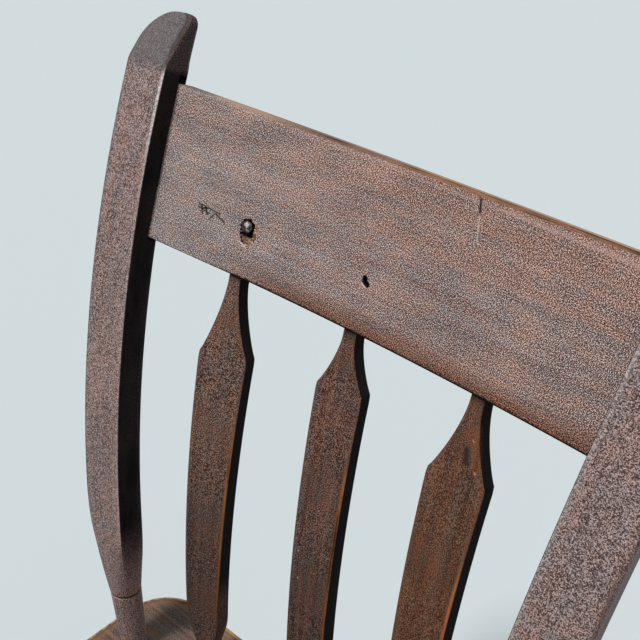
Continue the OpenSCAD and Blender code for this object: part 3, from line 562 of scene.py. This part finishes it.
for side, hand in ((-1, "left"), (1, "right")):
    radius = POST_BEND - outline[..., 1]
    y = POST_BEND_Y - radius * np.cos(angle)[:, None]
    z = POST_BEND_Z + radius * np.sin(angle)[:, None]
    a = outline[..., 0]
    x = side * (POST_X + a * np.cos(POST_LEAN) + z * np.sin(POST_LEAN))
    z = SEAT_TOP - a * np.sin(POST_LEAN) + z * np.cos(POST_LEAN)
    rings = np.stack([x, y, z], -1)
    up, behind = in_crest(rings)
    open_slot = ((up > -1) & (up < CREST_H + SLOT_OPEN) & (behind > 0) & (behind < TENON_T)
                 & (a < -POST_W / 2 + 4) & (outline[..., 1] < 10))
    rings[..., 0] += np.where(open_slot, side * SLOT_SHOWN, 0)
    marks = np.zeros((*rings.shape[:2], 4))
    up_post = height[:, None]
    on_ear = ease((up_post - height[-1] + EAR_BEVEL + 3) / 9)
    inward = ease((-facing[:, 0] - 0.35) / 0.5)
    arris = np.exp(-(apart / 1.3) ** 2) * flats * ease((-facing[:, 1] - 0.15) / 0.5)
    inner_arris = arris * (a < 0)
    marks[..., WORN] = arris * np.where(a < 0, 0.4 * on_ear, 0.3)
    # Painted shade through the dirt mark: the inner side, the open slot and the ear's inner arris
    # are darkened where the light does not reach. The ring cut and the foot are darker too.
    inner_side_shade = np.where(on_ear > 0.5, 0.7 * ease((-facing[:, 0] - 0.7) / 0.3), 0.95 * inward)
    marks[..., DIRT_AND_SHADE] = np.clip(
        cut_ring(up_post, ring_at) / CUT + open_slot * 1.2 + 0.9 * np.exp(-(up_post / 3) ** 2)
        + flats * inner_side_shade + 0.5 * inner_arris * on_ear, 0, 1)
    marks[..., TORN] = on_ear * ease((-facing[:, 1] - 0.9) / 0.1) * 0.8
    # A painted highlight along the inner front arris, strongest just below the ear and fading
    # downwards
    below_ear = (0.15 + 0.85 * ease((up_post - height[-1] + 110) / 70)) * (1 - on_ear)
    marks[..., PAINTED_HIGHLIGHT] = inner_arris * ease((-facing[:, 1] - 0.55) / 0.3) * below_ear
    grain = np.stack([a + side * 60, outline[..., 1], np.broadcast_to(s[:, None], a.shape)], -1)
    if side < 0:
        rings, grain, marks = (v[:, ::-1] for v in (rings, grain, marks))
    solid("post_%s_bent" % hand, [(rings, grain, marks)], ["post_" + hand],
          post_finish)


# Arrow spindles
# Three spindles sawn from one board, shaved to an arrow's outline, turned round at the foot
# and bent with the back. A neck of square section goes up under the rail.
SPINDLE_LEN, SPINDLE_RAKE, SPINDLE_BEND, PITCH = 352.0, np.radians(0.8), 1100.0, 95.0
LEANS, ARROW_W = (0.3, -1.2, 0.1), (41.0, 36.0, 41.0)
ARROW_TOP, ARROW_SLIP = (66.0, 46.0, 60.0), (7.0, 3.5, 6.0)
ARROW_LOW_W, ARROW_LOW, NECK_W = 32.5, 74.0, 9.8
TOP_T, NECK_EXTRA, LOW_T, FOOT_D, FOOT_RUN = 9.0, 1.6, 13.8, 13.0, 14.0
# How much each spindle darkens towards its foot: painted shade where the blade turns from the
# light
LOW_SHADE = (0.46, 0.42, 0.0)
# Of each spindle: its dark, middle and pale colours, how its specks are stretched, its streaks
spindle_looks = (
    ((0.027, 0.012, 0.008), (0.098, 0.051, 0.036), (0.44, 0.285, 0.225), (0.6, 1.0, 0.9), 0.16),
    ((0.024, 0.009, 0.006), (0.098, 0.044, 0.029), (0.38, 0.25, 0.205), (0.9, 1.0, 0.85), 0.26),
    ((0.042, 0.016, 0.009), (0.106, 0.045, 0.025), (0.29, 0.165, 0.11), (0.9, 1.0, 0.75), 0.32),
)
# Of each spindle, spots of bare wood, dirt, chips and painted glints: the ends of a line in the
# wood, the half widths of its core and its rim, its strength and its colour
spindle_spots = (
    (),
    (((58.0, -5.7, 186.5), (58.3, -5.7, 187.6), 0.2, 0.9, 0.9, (0.36, 0.29, 0.27)),
     ((60.0, -5.8, 164.6), (60.2, -5.8, 165.6), 0.2, 0.9, 0.9, (0.36, 0.29, 0.27))),
    (((144.2, -5.0, 334.0), (150.8, -5.0, 311.5), 0.1, 5.2, 0.4, (0.31, 0.095, 0.03)),
     ((142.4, -5.0, 320.5), (144.0, -5.0, 313.5), 0.2, 4.2, 0.8, (0.018, 0.013, 0.012)),
     # These two bright orange spots are painted glints of light on the worn neck
     ((144.4, -5.0, 328.2), (145.4, -5.0, 327.4), 0.1, 0.8, 0.7, (0.85, 0.42, 0.16)),
     ((150.7, -5.0, 310.6), (151.5, -5.0, 310.0), 0.1, 0.7, 0.7, (0.90, 0.50, 0.24))),
)


def turn_about(axis, angle):
    """A turn about one of the chair's axes."""
    c, s_ = np.cos(angle), np.sin(angle)
    return np.array({"x": [[1, 0, 0], [0, c, -s_], [0, s_, c]],
                     "y": [[c, 0, s_], [0, 1, 0], [-s_, 0, c]],
                     "z": [[c, -s_, 0], [s_, c, 0], [0, 0, 1]]}[axis])


def arrow_half(down, wide, top):
    """Half an arrow's width, down from the rail, with the shoulder at top."""
    flare = np.clip((down - 4) / (top - 10), 0, 1)
    barb = wide * 0.02 * ease((down - top + 12) / 12)
    half = NECK_W / 2 + (wide * 0.96 - NECK_W) / 2 * flare ** 1.6 + barb
    narrowed = np.clip((down - top) / (SPINDLE_LEN - top - ARROW_LOW), 0, 1)
    return half - (wide - ARROW_LOW_W) / 2 * narrowed


def crest_bow(x):
    """How far behind its middle the rail's face is at x: less than 0, as its ends come forward."""
    return np.sqrt(CREST_BEND ** 2 - x ** 2) - CREST_BEND


end_angle = SPINDLE_RAKE + SPINDLE_LEN / SPINDLE_BEND
top_y = SPINDLE_BEND * (np.cos(SPINDLE_RAKE) - np.cos(end_angle))
top_z = SPINDLE_BEND * (np.sin(end_angle) - np.sin(SPINDLE_RAKE))
tilt, chord = np.arctan2(top_y, top_z), np.hypot(top_y, top_z)
wide_side, thin_side = np.linspace(0, 1, 20)[1:-1], np.linspace(0, 1, 8)[1:-1]
for i, name in enumerate(("left", "centre", "right")):
    dark, mid, pale, ripple, streaky = spindle_looks[i]
    finish = old_finish(
        "spindle_%s_finish" % name, dark, mid, pale, bare=(0.34, 0.125, 0.042),
        thinned=(0.21, 0.088, 0.045), ripple=ripple, speck=1.9, rubbed=0.42, streaky=streaky,
        varied=0.9)
    colour = finish.colour
    for start, end, core, rim, share, shade in spindle_spots[i]:
        spot = 1 - finish.step(finish.from_line(finish.place, start, end), core, rim)
        colour = finish.mix(spot * (share + 1.2 * (finish.specks - 0.5)).limit(), colour, shade)
    finish.set(Base_Color=colour)
    from_foot = np.concatenate([
        [-10, -4], np.arange(0, 90, 3.0), np.arange(90, SPINDLE_LEN - 80, 4.0),
        np.arange(SPINDLE_LEN - 80, SPINDLE_LEN + 3, 1.0)])
    down, top = SPINDLE_LEN - from_foot, ARROW_TOP[i]
    left_half = arrow_half(down, ARROW_W[i], top)
    right_half = arrow_half(down, ARROW_W[i], top - ARROW_SLIP[i])
    thick = (LOW_T + (TOP_T - LOW_T) * from_foot / SPINDLE_LEN
             + NECK_EXTRA * ease((top + 6 - down) / top))
    outline, apart, facing = bar_rings(
        -left_half, right_half, -thick / 2, thick / 2, [0.8, 1.3, 1.2, 1.2],
        [wide_side, thin_side, wide_side, thin_side])
    u = np.clip((from_foot - FOOT_RUN) / (ARROW_LOW - FOOT_RUN), 0, 1)
    turned_r = (FOOT_D / 2 + (ARROW_LOW_W / 2 + 6 - FOOT_D / 2) * u ** 1.25
                + np.maximum(from_foot - ARROW_LOW, 0) * 2)
    outline = round_off(outline, np.zeros((len(from_foot), 2)), turned_r)
    angle = (SPINDLE_RAKE + from_foot / SPINDLE_BEND)[:, None]
    radius = SPINDLE_BEND - outline[..., 1]
    y = SPINDLE_BEND * np.cos(SPINDLE_RAKE) - radius * np.cos(angle)
    z = radius * np.sin(angle) - SPINDLE_BEND * np.sin(SPINDLE_RAKE)
    rings = np.stack([outline[..., 0], y, z], -1)
    x0 = (i - 1) * PITCH
    rings = rings @ turn_about("x", tilt).T - [0, 0, chord]
    rings = rings @ turn_about("y", np.radians(LEANS[i])).T + [0, 0, chord]
    rings = rings @ turn_about("z", -np.arcsin(x0 / CREST_BEND)).T
    rings = rings @ turn_about("x", -tilt).T
    bow = crest_bow(x0)
    rings = rings + [x0, bow * np.cos(CREST_RAKE), SEAT_TOP - bow * np.sin(CREST_RAKE)]
    marks = np.zeros((*rings.shape[:2], 4))
    below = ease((down - top + 2) / 75)[:, None]
    forward = ease(-facing[:, 1] / 0.6)
    arris = np.exp(-(apart / 1.15) ** 2) * forward * ease((from_foot - 40) / 50)[:, None]
    marks[..., WORN] = arris * np.where(outline[..., 0] > 0, 0.25 + 0.55 * below, 0.4)
    # Painted shade through the dirt mark: the sides, the neck under the rail where the rail's
    # shadow falls, and darker towards the foot. The foot where it enters the seat is darker too.
    foot_dark_neck_shadow = 0.8 * np.exp(-(from_foot / 3) ** 2) + 0.75 * np.exp(-((down + 1) / 4) ** 2)
    side_shade = ease((np.abs(facing[:, 0]) - 0.72) / 0.2) * ease((from_foot - 60) / 60)[:, None]
    low_shade = LOW_SHADE[i] * ease((270 - from_foot) / 150)
    marks[..., DIRT_AND_SHADE] = np.maximum(side_shade, np.maximum(foot_dark_neck_shadow, low_shade)[:, None])
    grain = np.stack([outline[..., 0] + i * 70, outline[..., 1],
                      np.broadcast_to(from_foot[:, None], apart.shape)], -1)
    solid("spindle_%s_arrow" % name, [(rings, grain, marks)], ["spindle_" + name],
          finish.material)


# Crest rail
# One deep bent board, let into the posts at both ends. Hands have worn its top arris round
# and down to orange wood, and wood has broken out round the nail over the left spindle.
NAIL_X, NAIL_UP = 93.7, 33.0
LOST_NAIL = ((34.0, 0.5), (32.2, 0.8), (30.8, 3.2))
crest = old_finish(
    "crest_finish", dark=(0.040, 0.021, 0.017), mid=(0.262, 0.179, 0.157),
    pale=(0.96, 0.78, 0.73), bare=(0.38, 0.20, 0.095), thinned=(0.31, 0.21, 0.16),
    highlight=(0.62, 0.50, 0.465), torn=((0.16, 0.085, 0.05), (0.74, 0.40, 0.24)),
    speck=1.55, streaky=0.09, varied=0.6)
up_face, _, along = crest.parts(crest.place)
left_end, right_end = (0.92, 0.995, 1.025), (0.85, 0.82, 0.81)
fading = crest.mix(crest.step(along, -CREST_W / 2, 40), left_end, right_end)
colour = crest.tint(crest.colour, fading)
# Darker and warmer along the bottom of the face: painted shade under the rounded lower arris, over
# a warmer tone of the wood
lowest = (1 - crest.step(up_face, 3.0, 18.0)) * crest.step(along, -130, -40)
colour = crest.tint(colour, (0.64, 0.445, 0.34), lowest)
colour = crest.tint(colour, (1.07, 0.97, 0.92), crest.step(up_face, 45, 95))
# Dark lines: scratches, a crack, painted shade in the empty nail hole and the left nail's
# painted shadow. Pale lines: the crack's pale edge, a painted highlight and a pale cut edge.
# Of each: both ends (up the face, along the rail), half width and strength
dark_lines = (
    ((35.4, -135.2), (34.0, -117.0), 0.26, 0.8), ((33.2, -135.4), (31.6, -124.5), 0.22, 0.75),
    ((35.0, -133.0), (30.0, -130.6), 0.34, 0.95), ((34.8, -129.8), (30.6, -126.6), 0.34, 0.95),
    ((33.2, -131.6), (34.4, -127.2), 0.30, 0.9), ((28.9, -123.8), (32.6, -121.0), 0.30, 0.85),
    ((32.8, -119.9), (30.0, -112.0), 0.34, 0.9), ((100.6, 57.2), (93.0, 59.4), 0.45, 0.9),
    # Painted shade in the empty nail hole, then the left nail's painted shadow below its head
    (*LOST_NAIL[:2], 1.0, 1.0), (*LOST_NAIL[1:], 1.0, 1.0),
    ((27.6, -92.0), (29.0, -89.2), 1.5, 1.0),
)
# The second pale line is a painted highlight on the empty hole's lower rim
pale_lines = (((93.0, 59.4), (78.0, 63.4), 0.2, 0.5), ((30.4, -0.9), (28.8, 2.4), 0.2, 0.8),
              ((22.6, -96.2), (20.4, -91.4), 0.2, 0.7))
for lines, shade in (dark_lines, (0.008, 0.007, 0.008)), (pale_lines, (0.66, 0.58, 0.55)):
    for (v0, x0), (v1, x1), wide, share in lines:
        beside = crest.from_line(crest.place, (v0, 0.0, x0), (v1, 0.0, x1))
        colour = crest.mix(share * (1 - crest.step(beside, wide, wide + 0.5)), colour, shade)
crest.set(Base_Color=colour)


def broken_out(x, v):
    """Depth of the hole that splintered out round the left nail, and how far in from its edge
    a point is. It is deep under the nail and shelves to a point below and on the right."""
    across, up = x + NAIL_X, v - NAIL_UP
    angle = np.arctan2(up + 1.5, across - 0.8)
    away = np.hypot(across - 0.8, up + 1.5)
    turns = np.radians([-180, -150, -122, -100, -78, -50, -20, 0, 25, 50, 90, 125, 150, 180])
    reaches = [6.2, 6.1, 7.9, 9.4, 11.6, 9.2, 8.6, 8.0, 7.3, 6.3, 7.0, 7.2, 6.7, 6.2]
    edge = np.interp(angle, turns, reaches)
    edge = edge + 0.35 * np.sin(9 * angle) + 0.25 * np.sin(17 * angle + 1)
    shelf = ease((across - 3.8) / 1.4) + ease((-up - 5.8) / 1.5)
    floor = 5.4 - 4.5 * np.clip(shelf, 0, 1) + 0.3 * np.sin(2.9 * v) * np.sin(0.8 * x)
    return ease((edge - away) / 0.7) * floor, edge - away


def lost_nail(x, v):
    """Distance from the middle of the empty hole, bent as the lost nail left it."""
    away = np.full(x.shape, 99.0)
    for (v0, x0), (v1, x1) in zip(LOST_NAIL[:-1], LOST_NAIL[1:]):
        dv, dx = v1 - v0, x1 - x0
        share = np.clip(((v - v0) * dv + (x - x0) * dx) / (dv ** 2 + dx ** 2), 0, 1)
        away = np.minimum(away, np.hypot(v - v0 - share * dv, x - x0 - share * dx))
    return away


def on_rail(x, v, n):
    """A point of the chair x along the rail, v up its face and n behind it."""
    angle = np.arcsin(x / CREST_BEND)
    back = (CREST_BEND + n) * np.cos(angle) - CREST_BEND
    return np.stack([(CREST_BEND + n) * np.sin(angle),
                     CREST_Y + back * np.cos(CREST_RAKE) + v * np.sin(CREST_RAKE),
                     CREST_Z - back * np.sin(CREST_RAKE) + v * np.cos(CREST_RAKE)], -1)


up_dense = np.concatenate([
    np.arange(2.5, 18, 2.5), np.arange(19, 43, 0.45), np.arange(44, 96, 2.5),
    np.arange(96.5, 101.6, 0.45)]) / CREST_H
half_at_nails = 171  # half the rail's length at the height of the nails
x_dense = np.unique(np.concatenate([
    np.linspace(-1, 1, 131), np.arange(-103, -80, 0.45) / half_at_nails,
    np.arange(-5, 6, 0.45) / half_at_nails]))
end = 1 + TENON_LEN / (CREST_W / 2)
share = np.concatenate([[-end, -1.004, -1], x_dense[1:-1], [1, 1.004, end]])
tenon = np.abs(share) > 1.001
x_low = share * CREST_W / 2
top_arris, low_arris = 1 + 1.6 * ease((x_low + 150) / 60), 1 + 2.4 * ease((x_low + 130) / 60)
thick = np.where(tenon, TENON_T, CREST_T)
top_side, back_side = np.linspace(0, 1, 8)[1:-1], np.linspace(0, 1, 40)[1:-1]
outline, apart, facing = bar_rings(
    np.zeros(len(share)), CREST_H, 0, thick, [low_arris, top_arris, 2.0, 1.6],
    [up_dense, top_side, back_side, top_side], arc=8)
v, n = outline[..., 0], outline[..., 1]
x = x_low[:, None] + 0 * v
for _ in range(4):
    level = v * np.cos(CREST_RAKE) - (crest_bow(x) + n) * np.sin(CREST_RAKE)
    x = share[:, None] * (CREST_W / 2 + level * np.tan(POST_LEAN))
in_front = (n < 0.05) & ~tenon[:, None]
broken, inside = broken_out(x, v)
broken, from_lost = broken * in_front, np.where(in_front, lost_nail(x, v), 99.0)
n = n + broken + 6.0 * ease((1.55 - from_lost) / 0.5)
rings = on_rail(x, v, n)
marks = np.zeros((*rings.shape[:2], 4))
upward, downward = ease((facing[:, 0] - 0.12) / 0.35), ease((-facing[:, 0] - 0.3) / 0.4)
forward = ease((-facing[:, 1] - 0.5) / 0.4)
hands = 0.12 + 0.88 * ease((x + 157) / 14)
marks[..., WORN] = upward * hands * (0.6 + 0.12 * ease((x + 20) / 60) + 0.2 * ease((n - 6) / 5))
# Painted shade through the dirt mark: black in the deep part and on the left wall of the
# broken-out hole, where the nail's shadow falls, black in the empty hole, and darker on faces
# turned down
cut = np.clip(broken / 0.7, 0, 1)
left_wall = ease((1.9 - inside) / 0.6) * ease((0.8 - x - NAIL_X) / 1.5)
deep = np.maximum(ease((broken - 2.6) / 1.0), left_wall)
patchy = 0.78 + 0.22 * np.sin(x / 6.3) * np.sin(x / 17 + 1)
dull = (0.85 * np.exp(-((n - 2.2) / 2.0) ** 2) * patchy * ease((x + 95) / 50)
        + 0.3 * np.exp(-((x + 75) / 36) ** 2))
marks[..., DIRT_AND_SHADE] = np.clip(
    cut * deep + ease((1.95 - from_lost) / 0.3) + downward
    + upward * ((1 - hands) * 0.6 + dull * hands), 0, 1)
marks[..., TORN] = cut * (1 - deep)
# A painted highlight along the face just below the worn top arris
highlight_at = CREST_H - 3.6 - 0.017 * x
highlight_band = np.exp(-((v - highlight_at) / 1.1) ** 2) * forward
marks[..., PAINTED_HIGHLIGHT] = 0.65 * highlight_band * (0.3 + 0.7 * ease((x + 60) / 80))
grain = np.stack([v, n, x], -1)
rings, grain, marks = (w[:, ::-1] for w in (rings, grain, marks))
solid("crest_board", [(rings, grain, marks)], ["crest_rail"], crest.material)


# Nails
# Two old cut nails go through the rail into the side spindles. The left one stands proud in
# the broken-out hole, and its hammered head has rusted to a dark grey skin.
iron = Finish("old_iron_finish")
place = iron.attribute("grain")
pits = iron.noise(place, 0.9, 4.0, 0.6)
rust = iron.step(iron.noise(place, 0.35, 3.0, 0.6), 0.5, 0.7)
colour = iron.mix(iron.step(pits, 0.42, 0.62), (0.035, 0.024, 0.023), (0.17, 0.125, 0.12))
colour = iron.mix(rust * 0.8, colour, (0.10, 0.05, 0.034))
# Painted highlights on the lit facets of the left nail's head: both ends of a line and its half
# width
lit_facets = (
    ((-94.6, 34.4, 2.0), (-93.6, 35.6, 2.0), 0.5), ((-93.0, 33.6, 2.0), (-92.4, 34.9, 2.0), 0.6),
    ((-92.4, 31.6, 2.0), (-91.2, 31.2, 2.0), 0.5))
for start, end, wide in lit_facets:
    facet_highlight = 1 - iron.step(iron.from_line(place, start, end), wide, wide + 0.35)
    colour = iron.mix(facet_highlight * iron.step(pits, 0.35, 0.55, 0.35, 0.9), colour, (0.46, 0.46, 0.49))
iron.set(Base_Color=colour, Roughness=0.34 + 0.3 * pits, Metallic=1 - 0.5 * rust,
         Normal=iron.bump(pits, depth=0.0005, strength=0.9))


def nail(x0, proud, seed):
    """A nail with a hand-hammered, faceted head."""
    rng = np.random.default_rng(seed)
    angle = np.linspace(0, 2 * np.pi, 36, endpoint=False)
    lobes = 1 - 0.05 * np.abs(np.sin(3 * angle + 0.6)) - 0.03 * np.sin(angle * 2 + seed)
    r = np.array([0.4, 1.3, 1.3, 3.4, 4.1, 4.3, 4.1, 3.5, 2.7, 1.7, 0.7])
    out = np.array([-12, -11, -2.0, -2.1, -1.7, -1.1, -0.6, -0.15, 0.05, 0.12, 0.12])
    out += proud - out[-1]
    shaped = np.array([0, 0, 0, 1, 1, 1, 1, 1, 0.8, 0.5, 0.2])[:, None]
    around = 1 + (lobes[None, :] - 1) * shaped
    slope = 0.14 * (1 - np.sin(angle[None, :] + 0.25)) * r[:, None] * shaped
    dents = rng.uniform(-0.22, 0.0, (1, 6)).repeat(6, 1) * shaped * (r[:, None] < 4.2)
    x = x0 + r[:, None] * around * np.cos(angle)
    v = NAIL_UP + 0.3 + r[:, None] * around * np.sin(angle) * 0.97
    rings = on_rail(x, v, slope * (proud > 0) - dents - out[:, None])
    grain = np.stack([x, v, out[:, None] + 0 * x], -1)
    return rings, grain, np.zeros((*rings.shape[:2], 4))


solid("nails_iron", [nail(-NAIL_X, proud=2.0, seed=3), nail(NAIL_X, proud=0.0, seed=5)],
      ["crest_nails"], iron.material)


# Wedges and pins
# Hidden fastenings of the same hard wood, their ends cut flush: a wedge in each leg and post,
# and a pin through the back of each post into the rail's end.
end_grain = Finish("end_grain_finish")
spot = end_grain.node("TexCoord", {}, {}, "Object")
fibres = end_grain.noise(spot, 1400.0, 3.0, 0.6)
stain = end_grain.step(end_grain.noise(spot, 90.0, 3.0, 0.6), 0.35, 0.65)
dark, pale = (0.07, 0.038, 0.022), (0.20, 0.115, 0.06)
colour = end_grain.mix(end_grain.step(fibres, 0.35, 0.65), dark, pale)
colour = end_grain.mix(stain * 0.5, colour, (0.05, 0.032, 0.024))
end_grain.set(Base_Color=colour, Roughness=0.6 + 0.25 * fibres,
              Normal=end_grain.bump(fibres, depth=0.0003, strength=0.6))
for node in ("leg_wedges", "post_wedges", "crest_pins"):
    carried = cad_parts[node]
    carried.data.materials.clear()
    carried.data.materials.append(end_grain.material)


# Floor, lights and camera
# A plain pale floor under one broad soft light from high in front, a weaker one from behind
# and a faint one from the right. The camera stands in front on the right and looks down.
def shown(light, seen, dim):
    """Pale to the camera and in reflections, and dim as a source of light."""
    outputs = light.node("LightPath", {}, {}).socket.node.outputs
    seeing = [Value(light, outputs["Is %s Ray" % kind])
              for kind in ("Camera", "Glossy", "Transmission")]
    return light.mix((seeing[0] + seeing[1] + seeing[2]).limit(), dim, seen)


floor_mesh = bpy.data.meshes.new("floor")
floor_mesh.from_pydata([(-9, -9, 0), (9, -9, 0), (9, 9, 0), (-9, 9, 0)], [], [(0, 1, 2, 3)])
floor = bpy.data.objects.new("floor", floor_mesh)
bpy.context.scene.collection.objects.link(floor)
ground = Finish("floor_paint")
ground.set(Base_Color=shown(ground, (0.50, 0.555, 0.565), (0.22, 0.22, 0.22)), Roughness=0.9,
           Specular_IOR_Level=0.0)
floor_mesh.materials.append(ground.material)

room = Finish("room", bpy.data.worlds.new("room"))
room.set(Color=shown(room, (0.63, 0.71, 0.72), (0.19, 0.20, 0.215)))
bpy.context.scene.world = room.material


def soft_sun(name, towards, strength, spread, colour):
    """Even light from one direction; spread is the width of its source in degrees."""
    made = bpy.data.lights.new(name, "SUN")
    made.energy, made.angle, made.color = strength, np.radians(spread), colour
    holder = bpy.data.objects.new(name, made)
    bpy.context.scene.collection.objects.link(holder)
    holder.matrix_world = Vector(towards).to_track_quat("Z", "Y").to_matrix().to_4x4()


soft_sun("key_light", (-0.14, -0.40, 0.905), 3.1, 9.0, (1.0, 0.985, 0.965))
soft_sun("rear_light", (-0.45, 0.70, 0.55), 0.9, 40.0, (0.97, 0.985, 1.0))
soft_sun("side_light", (0.85, -0.25, 0.46), 0.35, 60.0, (0.95, 0.975, 1.0))

# Where the photograph was taken from: its place in metres, its turns to the left, down and
# over in radians, and the lens's length in pixels of a picture 640 pixels wide
PICTURE, FOCAL = 640, 1029.621
CAMERA_AT = (0.323248, -0.325892 - CHAIR_MIDDLE_Y / 1000, 1.137995)
TO_LEFT, DOWN, TIPPED = 0.738322, 0.613251, 0.017738
ahead = np.array([-np.sin(TO_LEFT) * np.cos(DOWN), np.cos(TO_LEFT) * np.cos(DOWN), -np.sin(DOWN)])
level = np.array([np.cos(TO_LEFT), np.sin(TO_LEFT), 0.0])
below = np.cross(ahead, level)
right = level * np.cos(TIPPED) + below * np.sin(TIPPED)
below = below * np.cos(TIPPED) - level * np.sin(TIPPED)
lens = bpy.data.cameras.new("camera")
lens.sensor_fit, lens.sensor_width = "HORIZONTAL", 36.0
lens.lens = FOCAL / PICTURE * lens.sensor_width
lens.clip_start, lens.clip_end = 0.01, 50.0
camera = bpy.data.objects.new("camera", lens)
bpy.context.scene.collection.objects.link(camera)
turned_to = Matrix([right.tolist(), (-below).tolist(), (-ahead).tolist()]).transposed().to_4x4()
camera.matrix_world = Matrix.Translation(CAMERA_AT) @ turned_to
bpy.context.scene.camera = camera
bpy.context.scene.view_settings.view_transform = "Standard"
